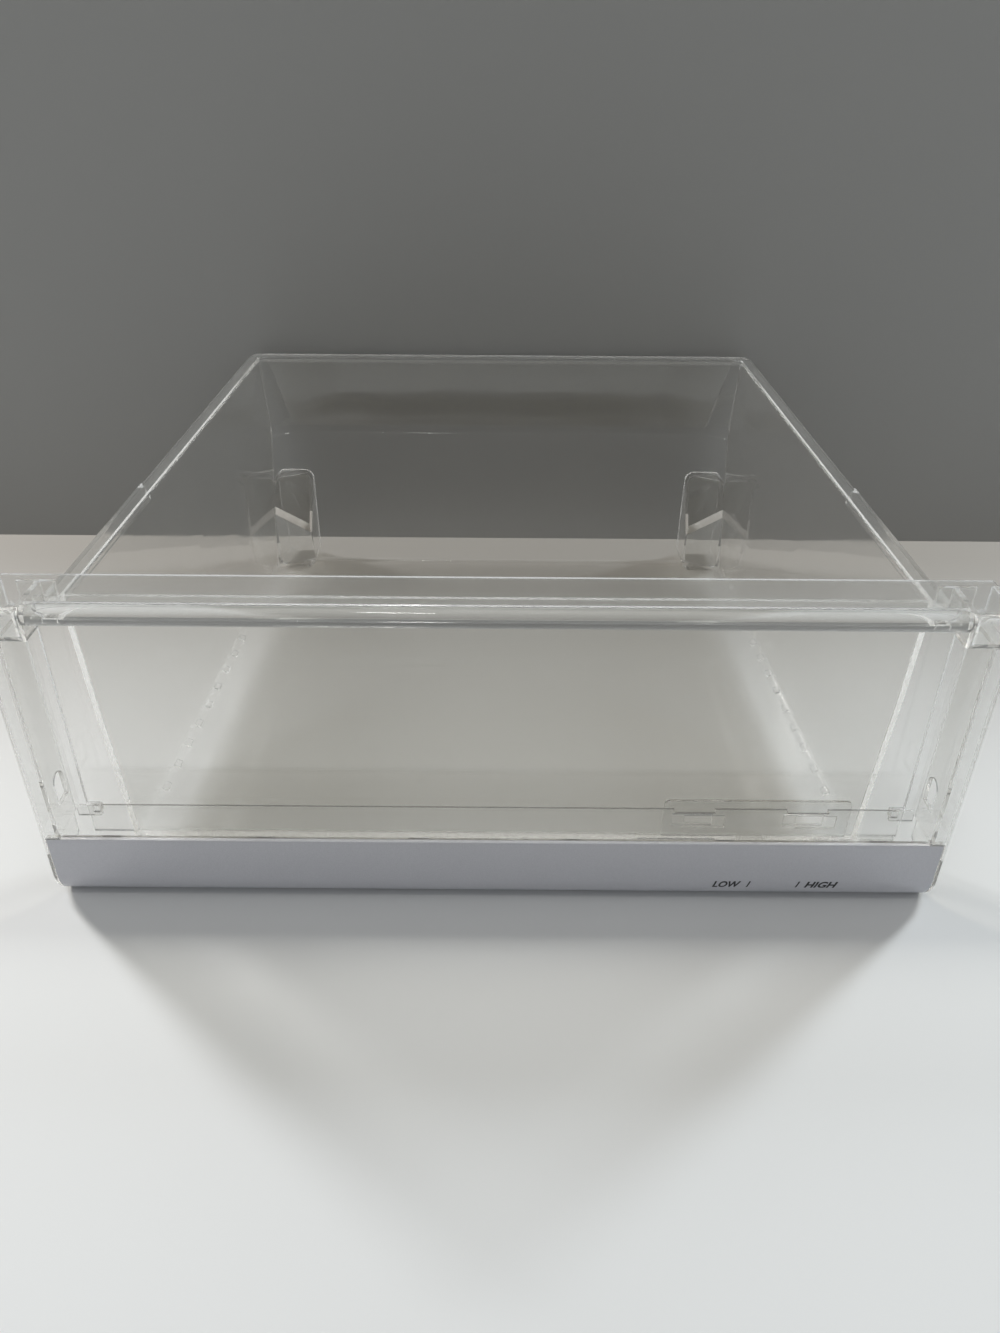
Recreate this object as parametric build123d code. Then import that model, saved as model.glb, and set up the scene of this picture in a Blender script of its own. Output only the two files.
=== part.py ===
from build123d import *
import os
from math import atan2, cos, sin

# A clear crisper drawer for a refrigerator, in millimetres.
# X runs to the right, Y from the front to the rear and Z up.
# The origin lies under the middle of the drawer, on the surface that it rests on.

# Overall size and the main levels above the resting surface
overall_depth = 438.0
frame_half_width = 229.0
floor_level = 14.0
shelf_level = 41.0
crease_level = 105.0
rim_level = 163.0
ledge_level = 174.0

# Clearances, and how far a cutting shape runs past what it cuts
fixed_gap = 0.3
slide_gap = 0.4
trim_end_gap = 0.4
cut_margin = 10.0

# Front frame
frame_wall = 2.2
recess_depth = 27.8
ledge_depth = 34.0
nose_height = 10.0
nose_depth = 8.5
end_block_width = 21.0
end_block_height = 17.3
end_block_wall = 2.6
end_block_radius = 3.0
cheek_width = 9.75
cheek_edge_radius = 1.8
seat_rim_width = 3.65
seat_rim_thickness = 2.0
corner_plate_width = 13.6

# Snap windows in the cheeks
window_width = 11.0
window_height = 17.0
window_level = 55.0
window_from_front = 15.0

# Snap pins that lock the frame to the tub, one in each corner
pin_width = 3.4
pin_height = 4.4
pin_rim = 1.2
pin_barb = 1.0
pin_barb_length = 2.4
lower_pin_distance = 4.2
lower_pin_drop = 3.6

# Tub: walls, and how far each section steps in from the one above it at the front
tub_wall = 2.2
tub_floor = 2.4
flange_gap = 3.0
rim_inset = 13.05
crease_inset = 2.4
floor_inset = 5.8

# Tub: how much narrower each section is at its rear
rim_taper = 9.6
crease_taper = 11.9
floor_taper = 14.0

# Tub: rear wall, upright above the crease and sloping forward below it
crease_setback = 2.5
floor_setback = 68.0
rim_corner = (5.0, 4.0)
crease_corner = (18.0, 9.0)
floor_corner = (29.0, 13.0)
floor_edge_radius = 5.0
inner_upright_radius = 1.2
inner_floor_radius = 3.8

# Tub: rim and runners
rim_reach = 6.2
rim_thickness = 2.2
lip_thickness = 1.8
lip_drop = 6.0
rim_corner_radius = 9.0
runner_length = 138.0
runner_extra = 0.8
runner_drop = 9.5

# Tub: rear feet, hollow pockets under the sloping rear corners
foot_width = 31.0
foot_outset = 4.0
foot_height = 76.0
foot_length = 32.0
foot_setback = 21.5
foot_wall = 2.0
foot_corner_radius = 7.0

# Tub: drip ribs across the corner between the floor and each side
rib_length = 6.2
rib_reach = 3.6
rib_inner_height = 1.0
rib_outer_height = 2.8
rib_pitch = 20.6
rib_start = 36.0
rib_end_margin = 24.0

# Trim strip
trim_thickness = 2.2
trim_straight = 25.0
trim_sweep = 9.5
trim_hook_count = 6
trim_hook_end_distance = 30.0
trim_hook_width = 10.0
trim_hook_height = 2.0
trim_hook_level = 30.0
trim_barb = 1.4

# Humidity slider and its vents
vent_width = 21.6
vent_height = 8.0
vent_level = 26.0
vent_spacing = 59.4
vents_from_side = 94.3
notch_depth = 3.0
slider_thickness = 1.4
slider_width = 99.0
slider_top_level = 45.5
slider_bottom_level = 20.0
slider_corner_radius = 3.0
slider_lead = 3.7
slider_left_travel = 6.2
slider_right_travel = 19.7
rail_height = 2.0
rail_depth = 2.0
rail_length = 42.0
arm_width = 18.0
arm_thickness = 2.0
arm_level = 8.0
tab_from_front = 14.0
tab_drop = 6.0

# Depths worked out from the sizes above
front_y = -overall_depth / 2
rear_y = overall_depth / 2
shelf_back_y = front_y + recess_depth
tub_front_y = shelf_back_y + slider_thickness + 2 * slide_gap
tub_flange_back_y = tub_front_y + tub_wall
rim_rear_y = rear_y - rim_reach
trim_back_y = front_y + trim_thickness
web_front_y = trim_back_y + fixed_gap
web_back_y = web_front_y + frame_wall
seat_rim_back_y = tub_front_y - fixed_gap
seat_rim_front_y = seat_rim_back_y - seat_rim_thickness
foot_rear_y = rim_rear_y - foot_setback

# Widths and levels worked out from the sizes above
trim_half_width = frame_half_width - frame_wall - trim_end_gap
block_inner_x = frame_half_width - end_block_width
cheek_inner_x = frame_half_width - cheek_width
seat_rim_inner_x = cheek_inner_x - seat_rim_width
flange_half_width = cheek_inner_x - flange_gap
rim_half_width = flange_half_width - rim_inset
crease_half_width = rim_half_width - crease_inset
floor_half_width = crease_half_width - floor_inset
foot_outer_x = floor_half_width - floor_taper + foot_outset
vent_centre_x = frame_half_width - vents_from_side
slider_rest_x = vent_centre_x + slider_lead
floor_top = floor_level + tub_floor
web_bottom_level = shelf_level - trim_straight
trim_hook_pitch = 2 * (trim_half_width - trim_hook_end_distance) / (trim_hook_count - 1)


def block(x_low, x_high, y_low, y_high, z_low, z_high):
    """Box between two corners."""
    size = Box(x_high - x_low, y_high - y_low, z_high - z_low)
    return Pos((x_low + x_high) / 2, (y_low + y_high) / 2, (z_low + z_high) / 2) * size


def mirrored_pair(shape):
    """A shape on the right together with its mirror image on the left."""
    return shape + mirror(shape, about=Plane.YZ)


def stations():
    """Level, front and rear half width, rear place and rear corner of the tub's three sections."""
    floor_rear = floor_half_width - floor_taper
    crease_rear = crease_half_width - crease_taper
    rim_rear = rim_half_width - rim_taper
    return (
        (floor_level, floor_half_width, floor_rear, rim_rear_y - floor_setback, floor_corner),
        (crease_level, crease_half_width, crease_rear, rim_rear_y - crease_setback, crease_corner),
        (rim_level, rim_half_width, rim_rear, rim_rear_y, rim_corner),
    )


def section_at(level):
    """Half widths, rear place and rear corner of the tub's outside at any level."""
    lower, middle, upper = stations()
    low, high = (lower, middle) if level < middle[0] else (middle, upper)
    share = (level - low[0]) / (high[0] - low[0])
    low_sizes = (low[1], low[2], low[3], *low[4])
    high_sizes = (high[1], high[2], high[3], *high[4])
    return [a + share * (b - a) for a, b in zip(low_sizes, high_sizes)]


def tub_outline(level, inset):
    """Six-sided section of the tub at one level, drawn in by the inset."""
    front_half, rear_half, rear, corner_x, corner_y = section_at(level)
    front = tub_front_y + inset
    wide = front_half - inset
    narrow = rear_half - inset
    back = rear - inset
    right = [(wide, front), (narrow, back - corner_y), (narrow - corner_x, back)]
    left = [(-x, y) for x, y in reversed(right)]
    return Pos(0, 0, level) * Polygon(*right, *left, align=None)


def tub_outside():
    """Outer form of the tub with its rounded floor edge."""
    body = loft([tub_outline(level, 0) for level in (floor_level, crease_level, rim_level)], ruled=True)
    floor_edges = body.edges().group_by(Axis.Z)[0]
    rear_and_sides = floor_edges.filter_by(lambda edge: edge.center().Y > tub_flange_back_y)
    return fillet(rear_and_sides, floor_edge_radius)


def tub_inside():
    """Space inside the tub, open at the top."""
    hollow = loft([tub_outline(level, tub_wall) for level in (floor_top, crease_level, rim_level)], ruled=True)
    hollow = fillet(hollow.edges().group_by(Axis.Z)[0], inner_floor_radius)
    uprights = hollow.edges().filter_by(lambda edge: edge.bounding_box().size.Z > edge.bounding_box().size.X)
    front_uprights = uprights.filter_by(lambda edge: edge.center().Y < tub_flange_back_y + inner_floor_radius)
    hollow = fillet(front_uprights, inner_upright_radius)
    top = hollow.faces().sort_by(Axis.Z)[-1]
    return hollow + extrude(top, cut_margin)


def rim_outline(reach):
    """Outline of the rim flange, with rounded rear corners."""
    front_half, rear_half, rear, _, _ = section_at(rim_level)
    right = [(front_half + reach, tub_front_y), (rear_half + reach, rear + reach)]
    left = [(-x, y) for x, y in reversed(right)]
    outline = Polygon(*right, *left, align=None)
    rear_corners = outline.vertices().group_by(Axis.Y)[-1]
    radius = rim_corner_radius + reach - rim_reach
    return Pos(0, 0, rim_level) * fillet(rear_corners, radius)


def rim():
    """Flange round the tub's rim, with its hanging lip and a deeper runner along each front side."""
    flange = extrude(rim_outline(rim_reach), -rim_thickness)
    lip = extrude(rim_outline(rim_reach) - rim_outline(rim_reach - lip_thickness), -lip_drop)
    runner_band = rim_outline(rim_reach + runner_extra) - rim_outline(rim_reach - lip_thickness)
    runner_space = block(
        -frame_half_width, frame_half_width,
        tub_front_y, tub_front_y + runner_length,
        rim_level - runner_drop, rim_level + cut_margin,
    )
    return flange + lip + (extrude(runner_band, -runner_drop) & runner_space)


def front_flange():
    """The tub's front wall, which runs out past the sides to meet the front frame."""
    return block(
        -flange_half_width, flange_half_width,
        tub_front_y, tub_flange_back_y,
        floor_level + floor_edge_radius, rim_level,
    )


def foot_form(inset):
    """Rounded box of the right rear foot, or its hollow when drawn in by the foot's wall."""
    width = foot_width - 2 * inset
    height = foot_height - 2 * inset
    outline = RectangleRounded(width, height, foot_corner_radius - inset)
    place = Pos(foot_outer_x - foot_width / 2, foot_rear_y - inset, foot_height / 2)
    return place * extrude(Plane.XZ * outline, foot_length - 2 * inset)


def drip_ribs():
    """Short sloping ribs in a row across the corner between the floor and the right side."""
    front_half, rear_half, rear, _, corner_y = section_at(floor_top)
    length = rear - tub_front_y - corner_y
    ribs = []
    along = rib_start
    while along < length - rib_end_margin:
        wall_x = front_half + (rear_half - front_half) * along / length - tub_wall
        corners = [
            (wall_x, floor_top),
            (wall_x - rib_reach, floor_top - tub_floor / 2),
            (wall_x - rib_reach, floor_top + rib_inner_height),
            (wall_x + tub_wall / 2, floor_top + rib_outer_height),
        ]
        rib = extrude(Plane.XZ * Polygon(*corners, align=None), rib_length)
        ribs.append(Pos(0, tub_front_y + along + rib_length / 2, 0) * rib)
        along += rib_pitch
    return ribs


def vent_centres():
    """X of the two vents."""
    return (vent_centre_x - vent_spacing / 2, vent_centre_x + vent_spacing / 2)


def vent_windows(shift):
    """Vent openings through the tub's front wall, or through the slider when shifted."""
    return [
        block(
            x + shift - vent_width / 2, x + shift + vent_width / 2,
            shelf_back_y - cut_margin, tub_flange_back_y + cut_margin,
            vent_level, vent_level + vent_height,
        )
        for x in vent_centres()
    ]


def slider_rails():
    """Two short rails on the tub's front wall, on which the slider stands."""
    reach = slider_width / 2 + slider_right_travel
    inner = reach - rail_length
    middle = slider_rest_x + (slider_right_travel - slider_left_travel) / 2
    top = slider_bottom_level - slide_gap
    return [
        block(middle + low, middle + high, tub_front_y - rail_depth, tub_front_y, top - rail_height, top)
        for low, high in ((-reach, -inner), (inner, reach))
    ]


def pin_places():
    """X and level of the right pins: in the rim's channel above, beside the slider's path below."""
    upper_x = rim_half_width + (rim_reach - lip_thickness) / 2
    upper_level = rim_level - rim_thickness - fixed_gap - pin_height / 2
    lower_x = slider_rest_x + slider_width / 2 + slider_right_travel + lower_pin_distance
    lower_level = shelf_level - frame_wall - lower_pin_drop
    return ((upper_x, upper_level), (lower_x, lower_level))


def pin_holes():
    """Holes for the right pins in the tub's front wall."""
    half_width = pin_width / 2 + fixed_gap
    half_height = pin_height / 2 + fixed_gap
    return [
        block(
            x - half_width, x + half_width,
            tub_front_y - cut_margin, tub_flange_back_y + fixed_gap,
            z - half_height, z + half_height,
        )
        for x, z in pin_places()
    ]


def tub():
    """Clear tub: shell, rim, runners, front flange, rear feet, drip ribs, vents and slider rails."""
    shell = tub_outside() + rim() + front_flange() + mirrored_pair(foot_form(0))
    shell = shell - tub_inside() - mirrored_pair(foot_form(foot_wall))
    for rib in drip_ribs():
        shell = shell + mirrored_pair(rib)
    for rail in slider_rails():
        shell = shell + rail
    for window in vent_windows(0):
        shell = shell - window
    for hole in pin_holes():
        shell = shell - mirrored_pair(hole)
    return shell


def ledge():
    """Handle ledge with its rounded nose between the end blocks."""
    radius = nose_height / 2
    plate = block(
        -frame_half_width, frame_half_width,
        front_y + radius, front_y + ledge_depth,
        ledge_level - frame_wall, ledge_level,
    )
    bar_place = Pos(0, front_y + radius, ledge_level - radius)
    bar = bar_place * Rot(0, 90, 0) * Cylinder(radius, 2 * block_inner_x)
    back = block(
        -block_inner_x, block_inner_x,
        front_y + radius, front_y + nose_depth,
        ledge_level - nose_height, ledge_level,
    )
    return plate + bar + back


def end_block():
    """Hollow box at the right end of the ledge, open to the rear."""
    outer = block(
        block_inner_x, frame_half_width,
        front_y, seat_rim_back_y,
        ledge_level - end_block_height, ledge_level,
    )
    outer = fillet(outer.edges().group_by(Axis.Y)[0], end_block_radius)
    hollow = block(
        block_inner_x + end_block_wall, frame_half_width - end_block_wall,
        front_y + end_block_wall, front_y + ledge_depth + cut_margin,
        ledge_level - end_block_height + end_block_wall, ledge_level - frame_wall,
    )
    return outer - hollow


def trim_point(inset, share):
    """Point on the trim's rounded lower front, drawn in by the inset, at a share of the sweep."""
    drop = shelf_level - trim_straight
    sweep_angle = 2 * atan2(trim_sweep, drop)
    radius = drop / sin(sweep_angle)
    angle = share * sweep_angle
    return (front_y + radius - (radius - inset) * cos(angle), drop - (radius - inset) * sin(angle))


def trim_profile():
    """Side outline of the trim: straight above, rounded back below."""
    outer = [trim_point(0, share) for share in (0, 1 / 2, 1)]
    inner = [trim_point(trim_thickness, share) for share in (1, 1 / 2, 0)]
    edges = [
        Line((front_y, shelf_level), outer[0]),
        ThreePointArc(*outer),
        Line(outer[-1], inner[0]),
        ThreePointArc(*inner),
        Line(inner[-1], (trim_back_y, shelf_level)),
        Line((trim_back_y, shelf_level), (front_y, shelf_level)),
    ]
    return make_face(edges)


def cheek_foot():
    """Lower end of the right cheek's outer wall, which follows the trim's outline beside its end."""
    outer = [trim_point(0, share) for share in (0, 1 / 2, 1)]
    back = front_y + ledge_depth
    edges = [
        Line((front_y, shelf_level), outer[0]),
        ThreePointArc(*outer),
        Line(outer[-1], (back, web_bottom_level)),
        Line((back, web_bottom_level), (back, shelf_level)),
        Line((back, shelf_level), (front_y, shelf_level)),
    ]
    return extrude(Plane.YZ.offset(frame_half_width - frame_wall) * make_face(edges), frame_wall)


def cheek_window():
    """Snap window through the right cheek's inner wall, round at its top."""
    radius = window_width / 2
    round_level = window_level + window_height - radius
    straight = Pos(0, (window_level + round_level) / 2) * Rectangle(window_width, round_level - window_level)
    outline = straight + Pos(0, round_level) * Circle(radius)
    side = Plane.YZ.offset(cheek_inner_x - fixed_gap)
    place = side * Pos(front_y + window_from_front, 0)
    return extrude(place * outline, frame_wall + 2 * fixed_gap)


def cheek():
    """Right cheek: inner and outer wall, joined by a web along the front."""
    top = ledge_level - end_block_height + end_block_wall / 2
    inner = block(
        cheek_inner_x, cheek_inner_x + frame_wall,
        front_y, seat_rim_back_y,
        shelf_level, top,
    )
    web = block(
        cheek_inner_x, frame_half_width,
        front_y, front_y + frame_wall,
        shelf_level, top,
    )
    outer = block(
        frame_half_width - frame_wall, frame_half_width,
        front_y, front_y + ledge_depth,
        shelf_level, top,
    )
    shell = web + outer + cheek_foot()
    outer_edges = shell.edges().group_by(Axis.X)[-1]
    front_edges = outer_edges.filter_by(lambda edge: edge.center().Y < front_y + trim_sweep)
    return fillet(front_edges, cheek_edge_radius) + inner - cheek_window()


def seat_rim():
    """Right part of the rim that seats on the tub's front wall, with its corner plates and pins."""
    strip = block(
        seat_rim_inner_x, cheek_inner_x,
        seat_rim_front_y, seat_rim_back_y,
        shelf_level - frame_wall, ledge_level - frame_wall / 2,
    )
    upper_level = pin_places()[0][1]
    upper_corner = block(
        seat_rim_inner_x - corner_plate_width, cheek_inner_x,
        seat_rim_front_y, seat_rim_back_y,
        upper_level - pin_height / 2 - pin_rim, ledge_level - frame_wall / 2,
    )
    lower_x, lower_level = pin_places()[1]
    lower_corner = block(
        lower_x - pin_width / 2 - pin_rim, cheek_inner_x + frame_wall,
        seat_rim_front_y, seat_rim_back_y,
        lower_level - pin_height / 2 - pin_rim, shelf_level,
    )
    rim_part = strip + upper_corner + lower_corner
    barb_front_y = tub_flange_back_y + fixed_gap
    for x, z in pin_places():
        left = x - pin_width / 2
        right = x + pin_width / 2
        low = z - pin_height / 2
        high = z + pin_height / 2
        back = barb_front_y + pin_barb_length
        rim_part = rim_part + block(left, right, seat_rim_front_y, back, low, high)
        rim_part = rim_part + block(left, right, barb_front_y, back, low - pin_barb, low)
    return rim_part


def trim_hook_places():
    """X of the trim's hooks, evenly spaced about the middle."""
    return [(i - (trim_hook_count - 1) / 2) * trim_hook_pitch for i in range(trim_hook_count)]


def shelf():
    """Clear shelf between the cheeks, notched over the vents, and the web that carries the trim."""
    plate = block(
        -cheek_inner_x - frame_wall, cheek_inner_x + frame_wall,
        web_front_y, shelf_back_y,
        shelf_level - frame_wall, shelf_level,
    )
    for x in vent_centres():
        plate = plate - block(
            x - vent_width / 2, x + vent_width / 2,
            shelf_back_y - notch_depth, shelf_back_y + cut_margin,
            shelf_level - frame_wall - cut_margin, shelf_level + cut_margin,
        )
    web = block(
        -frame_half_width + frame_wall, frame_half_width - frame_wall,
        web_front_y, web_back_y,
        web_bottom_level, shelf_level,
    )
    half = trim_hook_width / 2 + fixed_gap
    for x in trim_hook_places():
        web = web - block(
            x - half, x + half,
            web_front_y - cut_margin, web_back_y + cut_margin,
            trim_hook_level - fixed_gap, trim_hook_level + trim_hook_height + trim_barb + fixed_gap,
        )
    return plate + web


def front_frame():
    """Clear front frame: ledge, end blocks, cheeks, seat rim with its pins, shelf and trim web."""
    return ledge() + shelf() + mirrored_pair(end_block() + cheek() + seat_rim())


def trim_strip():
    """Opaque trim strip with a rounded lower front and hooks that pass through the frame's web."""
    strip = extrude(Plane.YZ.offset(-trim_half_width) * trim_profile(), 2 * trim_half_width)
    hook_back = web_back_y + fixed_gap
    top = trim_hook_level + trim_hook_height
    for x in trim_hook_places():
        low = x - trim_hook_width / 2
        high = x + trim_hook_width / 2
        stem = block(low, high, trim_back_y - fixed_gap, hook_back + trim_barb, trim_hook_level, top)
        barb = block(low, high, hook_back, hook_back + trim_barb, trim_hook_level, top + trim_barb)
        strip = strip + stem + barb
    return strip


def humidity_slider():
    """Vented plate behind the shelf, with an arm and a finger tab under the frame."""
    height = slider_top_level - slider_bottom_level
    plate_y = shelf_back_y + slide_gap
    plate = Plane.XZ * Rectangle(slider_width, height)
    plate = fillet(plate.vertices().group_by(Axis.Z)[-1], slider_corner_radius)
    middle = Pos(slider_rest_x, plate_y, slider_bottom_level + height / 2)
    plate = middle * extrude(plate, -slider_thickness)
    for window in vent_windows(slider_left_travel):
        plate = plate - window
    left = slider_rest_x - arm_width / 2
    right = slider_rest_x + arm_width / 2
    tab_y = front_y + tab_from_front
    plate_back = plate_y + slider_thickness
    drop = block(left, right, plate_y, plate_back, arm_level, slider_bottom_level)
    arm = block(left, right, tab_y, plate_back, arm_level, arm_level + arm_thickness)
    tab = block(left, right, tab_y, tab_y + arm_thickness, arm_level - tab_drop, arm_level)
    return plate + drop + arm + tab


def write_parts():
    """One file for each separate piece."""
    os.makedirs("parts", exist_ok=True)
    pieces = {
        "tub": tub(),
        "front_frame": front_frame(),
        "trim_strip": trim_strip(),
        "humidity_slider": humidity_slider(),
    }
    for name, piece in pieces.items():
        export_step(piece, f"parts/{name}.step")


write_parts()
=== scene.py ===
# %% [markdown]
# # A clear crisper drawer
# This lesson dresses a refrigerator's vegetable drawer that was drawn as solids first.
# The drawer is moulded from clear polystyrene, so most of its look comes from wall
# thickness, rounded edges and the light that bends through them.

# %% Load the solids
from math import cos, radians, sin

import bmesh
import bpy
from mathutils import Euler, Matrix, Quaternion, Vector


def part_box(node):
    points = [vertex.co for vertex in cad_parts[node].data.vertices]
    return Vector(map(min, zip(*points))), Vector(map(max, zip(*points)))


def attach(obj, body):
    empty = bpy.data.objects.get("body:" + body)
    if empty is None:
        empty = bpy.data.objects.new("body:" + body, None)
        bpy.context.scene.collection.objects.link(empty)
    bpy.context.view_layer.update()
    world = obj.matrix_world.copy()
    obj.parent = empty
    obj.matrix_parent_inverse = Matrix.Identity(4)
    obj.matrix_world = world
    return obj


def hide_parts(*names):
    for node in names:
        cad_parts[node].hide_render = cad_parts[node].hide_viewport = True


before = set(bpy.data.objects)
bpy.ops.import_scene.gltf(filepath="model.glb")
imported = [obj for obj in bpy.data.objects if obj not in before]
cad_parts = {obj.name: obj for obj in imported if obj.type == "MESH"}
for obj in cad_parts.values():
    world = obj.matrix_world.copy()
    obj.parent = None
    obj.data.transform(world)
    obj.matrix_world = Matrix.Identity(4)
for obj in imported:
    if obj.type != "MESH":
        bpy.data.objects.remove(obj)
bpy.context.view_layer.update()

# %% [markdown]
# ## Camera
# The photograph was taken from a standing height, a little in front of the drawer and
# looking down. A camera could be placed by eye. Here its place was worked out from the
# drawer's own corners, because then every edge falls on its place in the picture.

# %% Camera
CAMERA_PLACE = (0.0020, -0.5948, 0.3887)
LOOKING_DOWN = 32.77
TURN_LEFT = 0.02
ROLL = 0.41
LENS = 27.03
SENSOR_WIDTH = 36.0
NEAREST = 0.01
FARTHEST = 50.0

camera_data = bpy.data.cameras.new("photo_camera")
camera_data.lens = LENS
camera_data.sensor_width = SENSOR_WIDTH
camera_data.clip_start = NEAREST
camera_data.clip_end = FARTHEST
camera = bpy.data.objects.new("photo_camera", camera_data)
bpy.context.scene.collection.objects.link(camera)
camera.rotation_mode = "QUATERNION"
aim = Euler((radians(90 - LOOKING_DOWN), 0, radians(TURN_LEFT))).to_quaternion()
camera.rotation_quaternion = aim @ Quaternion((0, 0, 1), radians(ROLL))
camera.location = CAMERA_PLACE
bpy.context.scene.camera = camera
print("Camera at", CAMERA_PLACE, "with a", LENS, "mm lens")

# %% [markdown]
# ## Helpers for node materials
# A material is a small network of nodes. Two short helpers keep the networks easy to
# read: one makes a node and sets its sockets, the other joins two sockets.


# %% Node helpers
def add_node(tree, kind, **sockets):
    """A new node, with the sockets named in the call set to their values."""
    node = tree.nodes.new(kind)
    for name, value in sockets.items():
        node.inputs[name.replace("_", " ")].default_value = value
    return node


def new_material(name):
    """An empty node material with its output."""
    material = bpy.data.materials.new(name)
    material.use_nodes = True
    tree = material.node_tree
    tree.nodes.clear()
    output = tree.nodes.new("ShaderNodeOutputMaterial")
    return material, tree, output


# %% [markdown]
# ## Two effects of a moulded surface
# Molten plastic that freezes against steel is almost, but not quite, flat: it has long,
# shallow waves. In use it picks up a thin haze of fine scratches and finger grease.
# Both could be painted on images. Noise in the object's own space needs no image and
# has its real size in metres, so both are noise here, each in a group of its own.


# %% Group: long shallow waves
def build_mould_waves():
    """Node group that gives the height of a moulded surface's long waves, in metres."""
    group = bpy.data.node_groups.new("mould_waves", "ShaderNodeTree")
    group.interface.new_socket("Vector", in_out="INPUT", socket_type="NodeSocketVector")
    group.interface.new_socket("Wave Size", in_out="INPUT", socket_type="NodeSocketFloat")
    group.interface.new_socket("Height", in_out="OUTPUT", socket_type="NodeSocketFloat")
    inside = group.nodes.new("NodeGroupInput")
    outside = group.nodes.new("NodeGroupOutput")
    waves = add_node(group, "ShaderNodeTexNoise", Detail=1.5, Roughness=0.4)
    group.links.new(inside.outputs["Vector"], waves.inputs["Vector"])
    group.links.new(inside.outputs["Wave Size"], waves.inputs["Scale"])
    group.links.new(waves.outputs["Fac"], outside.inputs["Height"])
    return group


mould_waves = build_mould_waves()
print("Group", mould_waves.name, "has", len(mould_waves.nodes), "nodes")


# %% Group: haze from handling
def build_handling_haze():
    """Node group that gives a roughness between a clean and a handled value."""
    group = bpy.data.node_groups.new("handling_haze", "ShaderNodeTree")
    group.interface.new_socket("Vector", in_out="INPUT", socket_type="NodeSocketVector")
    group.interface.new_socket("Clean", in_out="INPUT", socket_type="NodeSocketFloat")
    group.interface.new_socket("Handled", in_out="INPUT", socket_type="NodeSocketFloat")
    group.interface.new_socket("Roughness", in_out="OUTPUT", socket_type="NodeSocketFloat")
    group.interface.new_socket("Mask", in_out="OUTPUT", socket_type="NodeSocketFloat")
    inside = group.nodes.new("NodeGroupInput")
    outside = group.nodes.new("NodeGroupOutput")
    patches = add_node(group, "ShaderNodeTexNoise", Scale=14.0, Detail=3.0, Roughness=0.55)
    specks = add_node(group, "ShaderNodeTexNoise", Scale=420.0, Detail=2.0, Roughness=0.6)
    blend = add_node(group, "ShaderNodeMath")
    blend.operation = "MULTIPLY"
    span = add_node(group, "ShaderNodeMapRange", From_Min=0.18, From_Max=0.42)
    group.links.new(inside.outputs["Vector"], patches.inputs["Vector"])
    group.links.new(inside.outputs["Vector"], specks.inputs["Vector"])
    group.links.new(patches.outputs["Fac"], blend.inputs[0])
    group.links.new(specks.outputs["Fac"], blend.inputs[1])
    group.links.new(blend.outputs["Value"], span.inputs["Value"])
    group.links.new(inside.outputs["Clean"], span.inputs["To Min"])
    group.links.new(inside.outputs["Handled"], span.inputs["To Max"])
    group.links.new(span.outputs["Result"], outside.inputs["Roughness"])
    group.links.new(blend.outputs["Value"], outside.inputs["Mask"])
    return group


handling_haze = build_handling_haze()
print("Group", handling_haze.name, "has", len(handling_haze.nodes), "nodes")

# %% [markdown]
# ## Clear polystyrene
# The tub, the frame and the slider are general purpose polystyrene, as clear as glass.
# A see-through paint would be quicker, but it can't bend light. The Principled shader
# with almost full transmission bends it as the real walls do, because each wall is a
# closed solid with its real thickness. A few percent of it stay plain and pale: that is
# the plastic's own haze.
#
# Rays that carry light to and from the table meet a tinted Transparent shader instead,
# so that the drawer throws a light shadow and no dark one, and light isn't counted twice
# on its way through. A ray that is caught between the two faces of a thin wall would run
# along it to the far end and come back dark. In real plastic it is scattered on its way,
# so after several bends it meets a pale haze here, which is lit through both faces.


# %% Clear material
POLYSTYRENE_IOR = 1.59
CLEAR_SHARE = 0.97
SHADOW_TINT = (0.755, 0.742, 0.715, 1.0)
MOST_BENDS = 8
TRAPPED_HAZE = (0.60, 0.60, 0.59, 1.0)


def lit_from_both_sides(tree, colour):
    """A haze that is lit from its own side and from behind, as a shader socket."""
    near_glow = add_node(tree, "ShaderNodeBsdfDiffuse", Color=colour)
    far_glow = add_node(tree, "ShaderNodeBsdfTranslucent", Color=colour)
    glow = tree.nodes.new("ShaderNodeAddShader")
    tree.links.new(near_glow.outputs["BSDF"], glow.inputs[0])
    tree.links.new(far_glow.outputs["BSDF"], glow.inputs[1])
    return glow.outputs["Shader"]


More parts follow.
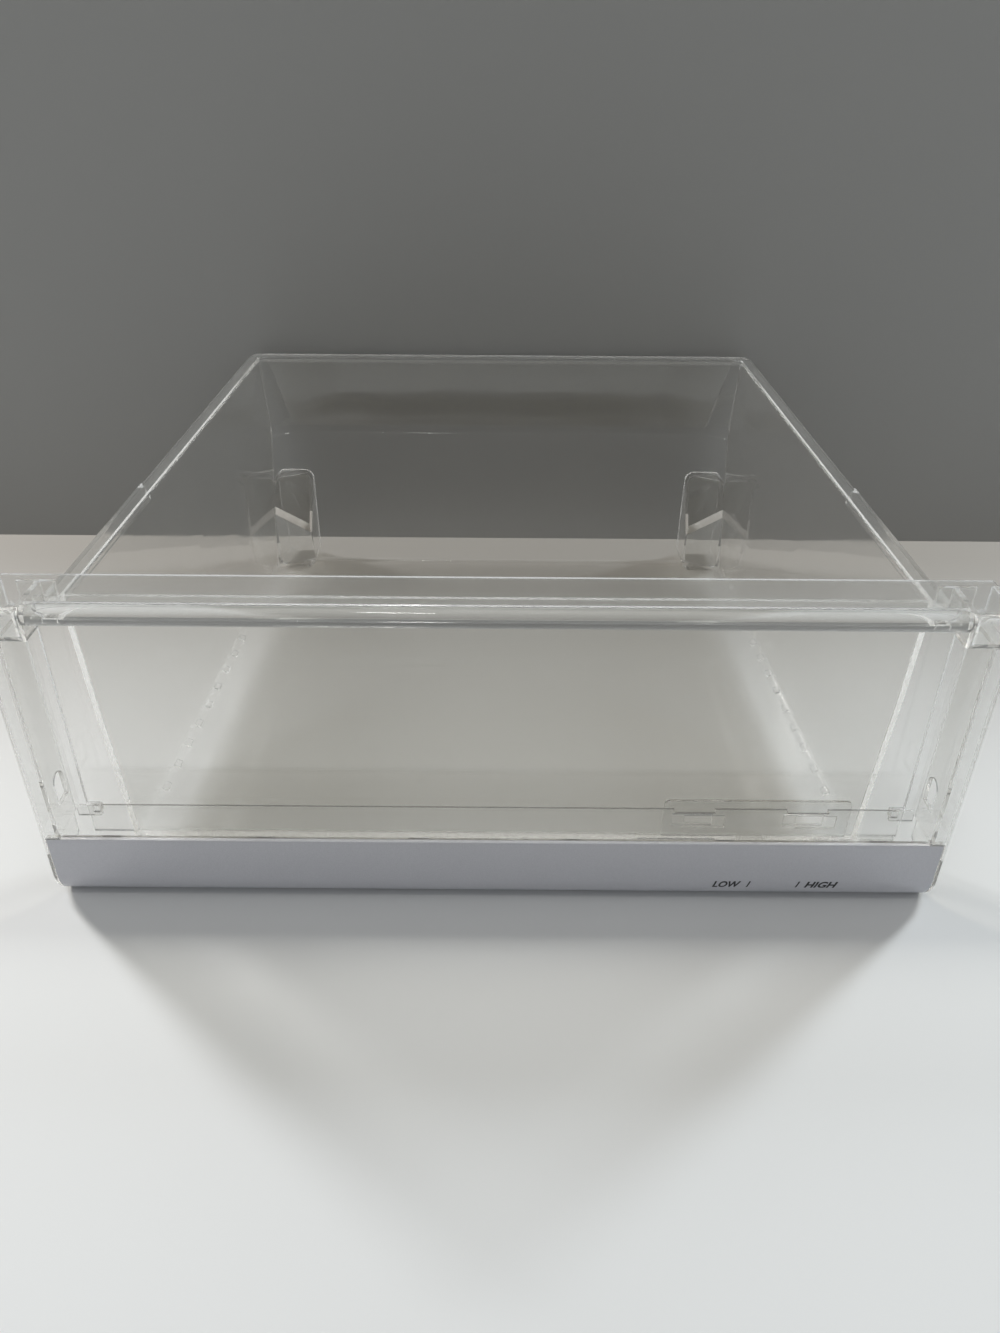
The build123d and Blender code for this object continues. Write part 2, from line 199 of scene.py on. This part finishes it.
def clear_polystyrene(name, tint, deep_tint, clean, handled, wave_scale, wave_height):
    """Clear moulded plastic with a faint tint, waves and haze."""
    material, tree, output = new_material(name)
    place = tree.nodes.new("ShaderNodeTexCoord")
    plastic = tree.nodes.new("ShaderNodeBsdfPrincipled")
    plastic.inputs["IOR"].default_value = POLYSTYRENE_IOR
    plastic.inputs["Transmission Weight"].default_value = CLEAR_SHARE

    haze = tree.nodes.new("ShaderNodeGroup")
    haze.node_tree = handling_haze
    haze.inputs["Clean"].default_value = clean
    haze.inputs["Handled"].default_value = handled
    tree.links.new(place.outputs["Object"], haze.inputs["Vector"])
    tree.links.new(haze.outputs["Roughness"], plastic.inputs["Roughness"])

    colour = tree.nodes.new("ShaderNodeMix")
    colour.data_type = "RGBA"
    colour.inputs["A"].default_value = tint
    colour.inputs["B"].default_value = deep_tint
    tree.links.new(haze.outputs["Mask"], colour.inputs["Factor"])
    tree.links.new(colour.outputs["Result"], plastic.inputs["Base Color"])

    waves = tree.nodes.new("ShaderNodeGroup")
    waves.node_tree = mould_waves
    waves.inputs["Wave Size"].default_value = wave_scale
    bump = add_node(tree, "ShaderNodeBump", Strength=1.0, Distance=wave_height)
    tree.links.new(place.outputs["Object"], waves.inputs["Vector"])
    tree.links.new(waves.outputs["Height"], bump.inputs["Height"])
    tree.links.new(bump.outputs["Normal"], plastic.inputs["Normal"])

    rays = tree.nodes.new("ShaderNodeLightPath")
    pane = add_node(tree, "ShaderNodeBsdfTransparent", Color=SHADOW_TINT)
    trapped = add_node(tree, "ShaderNodeMath")
    trapped.operation = "GREATER_THAN"
    trapped.inputs[1].default_value = MOST_BENDS
    tree.links.new(rays.outputs["Ray Depth"], trapped.inputs[0])
    shown = plastic.outputs["BSDF"]
    for share, other in (
        (trapped.outputs["Value"], lit_from_both_sides(tree, TRAPPED_HAZE)),
        (rays.outputs["Is Diffuse Ray"], pane.outputs["BSDF"]),
        (rays.outputs["Is Shadow Ray"], pane.outputs["BSDF"]),
    ):
        choice = tree.nodes.new("ShaderNodeMixShader")
        tree.links.new(share, choice.inputs["Fac"])
        tree.links.new(shown, choice.inputs[1])
        tree.links.new(other, choice.inputs[2])
        shown = choice.outputs["Shader"]
    tree.links.new(shown, output.inputs["Surface"])
    return material


tub_plastic = clear_polystyrene(
    "clear_tub_plastic",
    tint=(0.997, 0.998, 0.993, 1.0), deep_tint=(0.975, 0.980, 0.970, 1.0),
    clean=0.02, handled=0.10, wave_scale=22.0, wave_height=0.00015,
)
frame_plastic = clear_polystyrene(
    "clear_frame_plastic",
    tint=(0.995, 0.998, 0.995, 1.0), deep_tint=(0.970, 0.976, 0.974, 1.0),
    clean=0.03, handled=0.12, wave_scale=30.0, wave_height=0.0001,
)
slider_plastic = clear_polystyrene(
    "clear_slider_plastic",
    tint=(0.975, 0.980, 0.978, 1.0), deep_tint=(0.940, 0.948, 0.945, 1.0),
    clean=0.05, handled=0.16, wave_scale=40.0, wave_height=0.00008,
)
print("Clear plastics:", tub_plastic.name, frame_plastic.name, slider_plastic.name)

# %% [markdown]
# ## Silver grey trim
# The strip along the lower front is opaque plastic with a satin silver grey finish. A
# metal shader would be too bright for it: it is paint-like, so a plain plastic shader
# with a fine grain and a soft sheen comes nearer.


# %% Trim material
def satin_silver(name):
    """Satin silver grey plastic with a fine grain and slightly worn sheen."""
    material, tree, output = new_material(name)
    place = tree.nodes.new("ShaderNodeTexCoord")
    paint = tree.nodes.new("ShaderNodeBsdfPrincipled")
    paint.inputs["IOR"].default_value = 1.5
    paint.inputs["Metallic"].default_value = 0.15

    grain = add_node(tree, "ShaderNodeTexNoise", Scale=2600.0, Detail=2.0, Roughness=0.6)
    colour = add_node(tree, "ShaderNodeValToRGB")
    colour.color_ramp.elements[0].position = 0.3
    colour.color_ramp.elements[0].color = (0.560, 0.562, 0.600, 1.0)
    colour.color_ramp.elements[1].position = 0.7
    colour.color_ramp.elements[1].color = (0.640, 0.642, 0.680, 1.0)
    tree.links.new(place.outputs["Object"], grain.inputs["Vector"])
    tree.links.new(grain.outputs["Fac"], colour.inputs["Fac"])
    tree.links.new(colour.outputs["Color"], paint.inputs["Base Color"])

    haze = tree.nodes.new("ShaderNodeGroup")
    haze.node_tree = handling_haze
    haze.inputs["Clean"].default_value = 0.34
    haze.inputs["Handled"].default_value = 0.50
    tree.links.new(place.outputs["Object"], haze.inputs["Vector"])
    tree.links.new(haze.outputs["Roughness"], paint.inputs["Roughness"])

    bump = add_node(tree, "ShaderNodeBump", Strength=0.35, Distance=0.00004)
    tree.links.new(grain.outputs["Fac"], bump.inputs["Height"])
    tree.links.new(bump.outputs["Normal"], paint.inputs["Normal"])
    tree.links.new(paint.outputs["BSDF"], output.inputs["Surface"])
    return material


trim_silver = satin_silver("silver_grey_trim")
print("Trim material:", trim_silver.name)

# %% [markdown]
# ## From solids to moulded pieces
# A CAD solid arrives as loose triangles with knife-sharp edges. A real moulding has a
# small radius on every edge, and in clear plastic those radii show as thin bright and
# dark lines. The edges could be bevelled by hand, one by one. Here each piece is a merged
# copy of its solid whose sharp edges are rounded by the Bevel modifier, and the copy then
# stands for the solid. Normals weighted by face area keep the wide faces flat, so that
# the light bends at their edges alone.
#
# The radii below are the most that the modifier may use. Its clamp makes all radii of a
# mesh as small as its shortest edges need. The trim and the slider get nearly all of
# theirs. The tub and the frame have a few very short edges where curved faces meet, so
# their radii come out at about a hundredth of a millimetre or less and look crisp.


# %% Moulded copy of a solid
MERGE_WITHIN = 0.00001
FLAT_WITHIN = radians(0.6)
SHARP_FROM = radians(28.0)
EDGE_STEPS = 2


def moulded_piece(node, name, body, material, edge_radius, prepare=None):
    """A merged copy of a CAD node with rounded edges, which stands for that node."""
    mesh = bpy.data.meshes.new(name)
    shape = bmesh.new()
    shape.from_mesh(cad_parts[node].data)
    bmesh.ops.remove_doubles(shape, verts=shape.verts, dist=MERGE_WITHIN)
    bmesh.ops.dissolve_limit(
        shape, angle_limit=FLAT_WITHIN, verts=shape.verts, edges=shape.edges,
        use_dissolve_boundaries=False,
    )
    if prepare:
        prepare(shape)
    bmesh.ops.recalc_face_normals(shape, faces=shape.faces)
    for face in shape.faces:
        face.smooth = True
    for edge in shape.edges:
        edge.smooth = edge.calc_face_angle(0.0) < SHARP_FROM
    shape.to_mesh(mesh)
    shape.free()

    piece = bpy.data.objects.new(name, mesh)
    bpy.context.scene.collection.objects.link(piece)
    mesh.materials.append(material)
    bevel = piece.modifiers.new("edge_radius", "BEVEL")
    bevel.width = edge_radius
    bevel.segments = EDGE_STEPS
    bevel.limit_method = "ANGLE"
    bevel.angle_limit = SHARP_FROM
    bevel.use_clamp_overlap = True
    flat = piece.modifiers.new("flat_faces", "WEIGHTED_NORMAL")
    flat.keep_sharp = True
    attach(piece, body)
    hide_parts(node)
    print(name, "has", len(mesh.polygons), "faces before its edges are rounded")


# %% [markdown]
# ## The bend in the rear wall and the drip ribs
# The rear wall is upright above and slopes forward below. Where the two meet, the mould
# has a soft bend, which holds a long glint. The solid has a plain crease there. It could
# be left to the common bevel, but that is far too small for it, so the crease gets its
# own wide one first. The tops of the short drip ribs beside the floor get one as well.
# There the clamp allows only a few hundredths of a millimetre.


# %% Where the bend and the ribs are
CREASE_LEVEL = 0.105
CREASE_WITHIN = 0.002
REAR_FROM_Y = 0.185
RIB_LOW, RIB_HIGH = 0.0168, 0.0193
RIB_FROM_X = 0.155
RIB_TO_Y = 0.16


def is_rear_bend(vert):
    """True on the level where the rear wall begins to slope."""
    return abs(vert.co.z - CREASE_LEVEL) < CREASE_WITHIN and vert.co.y > REAR_FROM_Y


def is_rib_top(vert):
    """True on the drip ribs, above the floor and inside the side walls."""
    right_level = RIB_LOW < vert.co.z < RIB_HIGH
    return right_level and abs(vert.co.x) > RIB_FROM_X and abs(vert.co.y) < RIB_TO_Y


# %% Rounding them
BEND_RADIUS = 0.004
BEND_STEPS = 5
BEND_TURN = 0.05
RIB_RADIUS = 0.0008
RIB_STEPS = 3
RIB_TURN = 0.35
MOST_TURN = 1.65


def soften(shape, belongs, least_turn, radius, steps):
    """Round the edges whose two ends belong and whose faces turn enough."""
    edges = [
        edge for edge in shape.edges
        if all(belongs(vert) for vert in edge.verts)
        and least_turn < edge.calc_face_angle(0.0) < MOST_TURN
    ]
    bmesh.ops.bevel(
        shape, geom=edges, offset=radius, offset_type="OFFSET", segments=steps, profile=0.5,
        affect="EDGES", material=-1, clamp_overlap=True,
    )
    print("Rounded", len(edges), "edges by", 1000 * radius, "mm at most")


def soften_tub(shape):
    """Give the rear bend and the drip ribs their own wider radii."""
    soften(shape, is_rear_bend, BEND_TURN, BEND_RADIUS, BEND_STEPS)
    soften(shape, is_rib_top, RIB_TURN, RIB_RADIUS, RIB_STEPS)


# %% The four mouldings
moulded_piece(
    "tub", "clear_tub", "drawer", tub_plastic, edge_radius=0.0004, prepare=soften_tub,
)
moulded_piece(
    "front_frame", "clear_front_frame", "drawer", frame_plastic, edge_radius=0.0004,
)
moulded_piece(
    "trim_strip", "silver_trim_strip", "drawer", trim_silver, edge_radius=0.0003,
)
moulded_piece(
    "humidity_slider", "clear_humidity_slider", "slider", slider_plastic,
    edge_radius=0.0002,
)

# %% [markdown]
# ## Marks on the trim
# The slider's two ends are marked on the trim: a word and a short bar for each. On the
# real strip they are printed with ink. A texture could hold them, but thin letters of
# real geometry need no image. The ink itself is almost black and slightly uneven.


# %% Ink
def ink(name):
    """Dark grey printing ink, slightly uneven as pad printing is."""
    material, tree, output = new_material(name)
    place = tree.nodes.new("ShaderNodeTexCoord")
    pigment = tree.nodes.new("ShaderNodeBsdfPrincipled")
    cover = add_node(tree, "ShaderNodeTexNoise", Scale=3200.0, Detail=2.0, Roughness=0.6)
    colour = add_node(tree, "ShaderNodeValToRGB")
    colour.color_ramp.elements[0].position = 0.35
    colour.color_ramp.elements[0].color = (0.012, 0.012, 0.013, 1.0)
    colour.color_ramp.elements[1].position = 0.75
    colour.color_ramp.elements[1].color = (0.045, 0.045, 0.048, 1.0)
    sheen = add_node(tree, "ShaderNodeMapRange", To_Min=0.42, To_Max=0.58)
    tree.links.new(place.outputs["Object"], cover.inputs["Vector"])
    tree.links.new(cover.outputs["Fac"], colour.inputs["Fac"])
    tree.links.new(colour.outputs["Color"], pigment.inputs["Base Color"])
    tree.links.new(cover.outputs["Fac"], sheen.inputs["Value"])
    tree.links.new(sheen.outputs["Result"], pigment.inputs["Roughness"])
    tree.links.new(pigment.outputs["BSDF"], output.inputs["Surface"])
    return material


mark_ink = ink("dark_mark_ink")
print("Mark material:", mark_ink.name)

# %% [markdown]
# ## Letters and bars
# The words are set in type and turned into a mesh, which is quicker than drawing letters
# and gives closed shapes. A bar is a slanted box. Both stand at unit height at first.

# %% Words and bars as meshes
LETTER_HALF = 0.004
STROKE_GAIN = 0.032
SLANT = 0.28
BAR_WIDTH = 0.17


def set_word(word):
    """A word as a thin closed mesh that stands on the X axis, at unit height."""
    type_data = bpy.data.curves.new(word, "FONT")
    type_data.body = word
    type_data.shear = SLANT
    type_data.offset = STROKE_GAIN
    type_data.extrude = LETTER_HALF
    type_data.resolution_u = 3
    type_object = bpy.data.objects.new(word, type_data)
    bpy.context.scene.collection.objects.link(type_object)
    bpy.context.view_layer.update()
    mesh = bpy.data.meshes.new_from_object(type_object)
    bpy.data.objects.remove(type_object)
    shape = bmesh.new()
    shape.from_mesh(mesh)
    bpy.data.meshes.remove(mesh)
    bmesh.ops.remove_doubles(shape, verts=shape.verts, dist=0.0001)
    left = min(vert.co.x for vert in shape.verts)
    tall = max(vert.co.y for vert in shape.verts)
    bmesh.ops.translate(shape, verts=shape.verts, vec=(-left, 0.0, 0.0))
    bmesh.ops.scale(shape, verts=shape.verts, vec=(1.0 / tall, 1.0 / tall, 1.0))
    return shape


def set_bar():
    """A slanted bar as a thin closed mesh, at unit height."""
    shape = bmesh.new()
    bmesh.ops.create_cube(shape, size=1.0)
    bmesh.ops.scale(shape, verts=shape.verts, vec=(BAR_WIDTH, 1.0, 2 * LETTER_HALF))
    bmesh.ops.translate(shape, verts=shape.verts, vec=(BAR_WIDTH / 2, 0.5, 0.0))
    for vert in shape.verts:
        vert.co.x += SLANT * vert.co.y
    return shape


# %% [markdown]
# ## Marks on the curve
# The strip's lower front is round. A mark that stayed flat would stand off at its ends,
# so each one is cut into thin slices, which then follow the curve.

# %% Laying the marks
MARK_HEIGHT = 0.0048
MARK_FOOT = 0.0110
INK_PROUD = 0.00003
SLICES_AT = (0.2, 0.4, 0.6, 0.8)
TRIM_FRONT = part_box("trim_strip")[0][1]
CURVE_TOP = 0.016
CURVE_RADIUS = 0.01824


def lay_on_trim(shape, name, start_x, width):
    """Scale a mark to its width and lay it on the strip's curved front."""
    bmesh.ops.recalc_face_normals(shape, faces=shape.faces)
    span = max(vert.co.x for vert in shape.verts)
    bmesh.ops.scale(
        shape, verts=shape.verts, vec=(width / span, MARK_HEIGHT, INK_PROUD / LETTER_HALF),
    )
    for share in SLICES_AT:
        everything = shape.verts[:] + shape.edges[:] + shape.faces[:]
        bmesh.ops.bisect_plane(
            shape, geom=everything, plane_co=(0, share * MARK_HEIGHT, 0), plane_no=(0, 1, 0),
        )
    for vert in shape.verts:
        turn = (CURVE_TOP - MARK_FOOT - vert.co.y) / CURVE_RADIUS
        reach = CURVE_RADIUS + vert.co.z
        vert.co = (
            start_x + vert.co.x,
            TRIM_FRONT + CURVE_RADIUS - reach * cos(turn),
            CURVE_TOP - reach * sin(turn),
        )
    mesh = bpy.data.meshes.new(name)
    shape.to_mesh(mesh)
    shape.free()
    mark = bpy.data.objects.new(name, mesh)
    bpy.context.scene.collection.objects.link(mark)
    mesh.materials.append(mark_ink)
    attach(mark, "drawer")
    print(name, "runs from", round(1000 * start_x, 1), "for", round(1000 * width, 1), "mm")


lay_on_trim(set_word("LOW"), "low_mark", start_x=0.1129, width=0.0146)
lay_on_trim(set_bar(), "low_bar", start_x=0.1305, width=0.0020)
lay_on_trim(set_bar(), "high_bar", start_x=0.1560, width=0.0020)
lay_on_trim(set_word("HIGH"), "high_mark", start_x=0.1607, width=0.0170)

# %% [markdown]
# ## Table
# The drawer stands on a pale table close to a grey wall. Towards the wall the table's
# colour is painted darker: a painted shade for the light that a wall keeps away. The
# wall's own shadow could do that, but it would leave a hard edge in a view from behind,
# so the shade is painted into the table's colour.


# %% Stage helper
def stage_plane(name, corners, material):
    """A flat four-sided stage piece."""
    mesh = bpy.data.meshes.new(name)
    shape = bmesh.new()
    shape.faces.new([shape.verts.new(corner) for corner in corners])
    shape.to_mesh(mesh)
    shape.free()
    plane = bpy.data.objects.new(name, mesh)
    bpy.context.scene.collection.objects.link(plane)
    mesh.materials.append(material)
    return plane


# %% Table
TABLE_COLOUR = (0.79, 0.795, 0.785, 1.0)
# Painted shade: the table's colour by the wall, darker where a wall would keep light away.
PAINTED_SHADE_BY_WALL = (0.300, 0.278, 0.248, 1.0)
PALE_UP_TO_Y = -0.20
DIM_FROM_Y = 0.20
STAGE_REACH = 4

table_material, table_tree, table_output = new_material("pale_table_painted_shade")
table_shader = add_node(table_tree, "ShaderNodeBsdfPrincipled", Roughness=0.6)
table_place = table_tree.nodes.new("ShaderNodeTexCoord")
table_axes = table_tree.nodes.new("ShaderNodeSeparateXYZ")
painted_shade_share = add_node(
    table_tree, "ShaderNodeMapRange", From_Min=PALE_UP_TO_Y, From_Max=DIM_FROM_Y,
)
painted_shade_share.interpolation_type = "SMOOTHSTEP"
painted_table_tone = table_tree.nodes.new("ShaderNodeMix")
painted_table_tone.data_type = "RGBA"
painted_table_tone.inputs["A"].default_value = TABLE_COLOUR
painted_table_tone.inputs["B"].default_value = PAINTED_SHADE_BY_WALL
table_tree.links.new(table_place.outputs["Object"], table_axes.inputs["Vector"])
table_tree.links.new(table_axes.outputs["Y"], painted_shade_share.inputs["Value"])
table_tree.links.new(painted_shade_share.outputs["Result"], painted_table_tone.inputs["Factor"])
table_tree.links.new(painted_table_tone.outputs["Result"], table_shader.inputs["Base Color"])
table_tree.links.new(table_shader.outputs["BSDF"], table_output.inputs["Surface"])

stage_plane(
    "table",
    [
        (-STAGE_REACH, -STAGE_REACH, 0), (STAGE_REACH, -STAGE_REACH, 0),
        (STAGE_REACH, STAGE_REACH, 0), (-STAGE_REACH, STAGE_REACH, 0),
    ],
    table_material,
)
print("The table darkens from Y", PALE_UP_TO_Y, "to Y", DIM_FROM_Y)

# %% [markdown]
# ## Wall
# Clear plastic shows what is behind it, so the wall belongs to its look. The wall's back
# side is see-through, so that the drawer can also be looked at from behind. The lamps
# stand behind it, and it lets their light pass.

# %% Wall
WALL_COLOUR = (0.37, 0.37, 0.36, 1.0)
WALL_Y = 0.2215
WALL_TOP = 1.4

wall_material, wall_tree, wall_output = new_material("grey_wall")
wall_shader = add_node(wall_tree, "ShaderNodeBsdfDiffuse", Color=WALL_COLOUR)
wall_clear = add_node(wall_tree, "ShaderNodeBsdfTransparent")
wall_side = wall_tree.nodes.new("ShaderNodeNewGeometry")
seen_side = wall_tree.nodes.new("ShaderNodeMixShader")
wall_tree.links.new(wall_side.outputs["Backfacing"], seen_side.inputs["Fac"])
wall_tree.links.new(wall_shader.outputs["BSDF"], seen_side.inputs[1])
wall_tree.links.new(wall_clear.outputs["BSDF"], seen_side.inputs[2])

wall_rays = wall_tree.nodes.new("ShaderNodeLightPath")
wall_choice = wall_tree.nodes.new("ShaderNodeMixShader")
wall_tree.links.new(wall_rays.outputs["Is Shadow Ray"], wall_choice.inputs["Fac"])
wall_tree.links.new(seen_side.outputs["Shader"], wall_choice.inputs[1])
wall_tree.links.new(wall_clear.outputs["BSDF"], wall_choice.inputs[2])
wall_tree.links.new(wall_choice.outputs["Shader"], wall_output.inputs["Surface"])

wall = stage_plane(
    "wall",
    [
        (-STAGE_REACH, WALL_Y, 0), (STAGE_REACH, WALL_Y, 0),
        (STAGE_REACH, WALL_Y, WALL_TOP), (-STAGE_REACH, WALL_Y, WALL_TOP),
    ],
    wall_material,
)
print("Wall normal:", tuple(round(value, 2) for value in wall.data.polygons[0].normal))

# %% [markdown]
# ## Light
# Two tall soft lamps stand high behind the drawer, one to each side, so its shadows
# cross in front of it. One lamp overhead would leave a single shadow below it. A weak
# wide one fills from above, a small one on the ceiling gives the short glints on the
# rear wall, and a pale world lights the rest evenly.


# %% Lamps
DRAWER_MIDDLE = Vector((0.0, 0.0, 0.08))


def soft_lamp(name, place, width, height, watts, colour):
    """A rectangular area lamp that looks at the drawer's middle."""
    data = bpy.data.lights.new(name, "AREA")
    data.shape = "RECTANGLE"
    data.size = width
    data.size_y = height
    data.energy = watts
    data.color = colour
    lamp = bpy.data.objects.new(name, data)
    bpy.context.scene.collection.objects.link(lamp)
    lamp.location = place
    lamp.rotation_mode = "QUATERNION"
    lamp.rotation_quaternion = (DRAWER_MIDDLE - Vector(place)).to_track_quat("-Z", "Y")
    print(name, "gives", watts, "W from a height of", round(place[2], 2), "m")


soft_lamp(
    "left_lamp", (-1.39, 0.86, 1.25), width=0.20, height=1.0, watts=31.0, colour=(1.0, 0.99, 0.98),
)
soft_lamp(
    "right_lamp", (1.39, 0.86, 1.25), width=0.20, height=1.0, watts=24.0, colour=(0.91, 0.965, 1.0),
)
soft_lamp(
    "overhead_fill", (0.0, -0.3, 2.2), width=1.4, height=1.4, watts=3.0, colour=(1.0, 0.99, 0.98),
)
soft_lamp(
    "ceiling_lamp", (-0.26, -0.9, 2.2), width=0.20, height=0.12, watts=3.0,
    colour=(1.0, 0.99, 0.97),
)

# %% World
WORLD_COLOUR = (0.9, 0.93, 0.96, 1.0)
WORLD_STRENGTH = 0.33

world = bpy.data.worlds.new("pale_room")
bpy.context.scene.world = world
world.use_nodes = True
backdrop = world.node_tree.nodes["Background"]
backdrop.inputs["Color"].default_value = WORLD_COLOUR
backdrop.inputs["Strength"].default_value = WORLD_STRENGTH
bpy.context.scene.view_settings.view_transform = "Standard"
print("World strength:", WORLD_STRENGTH)

# %% [markdown]
# ## How often light may bend
# Light that runs inside a wall is thrown back from face to face many times. With the
# few bounces that are usual, its path would be cut short there and the edges of the
# walls would turn black. So the limits are higher than the bends that the plastic counts.

# %% Bounces
BOUNCES = 12
CLEAR_BOUNCES = 16
cycles = bpy.context.scene.cycles
cycles.max_bounces = BOUNCES
cycles.glossy_bounces = BOUNCES
cycles.transmission_bounces = BOUNCES
cycles.transparent_max_bounces = CLEAR_BOUNCES
print("Light may bend", BOUNCES, "times")
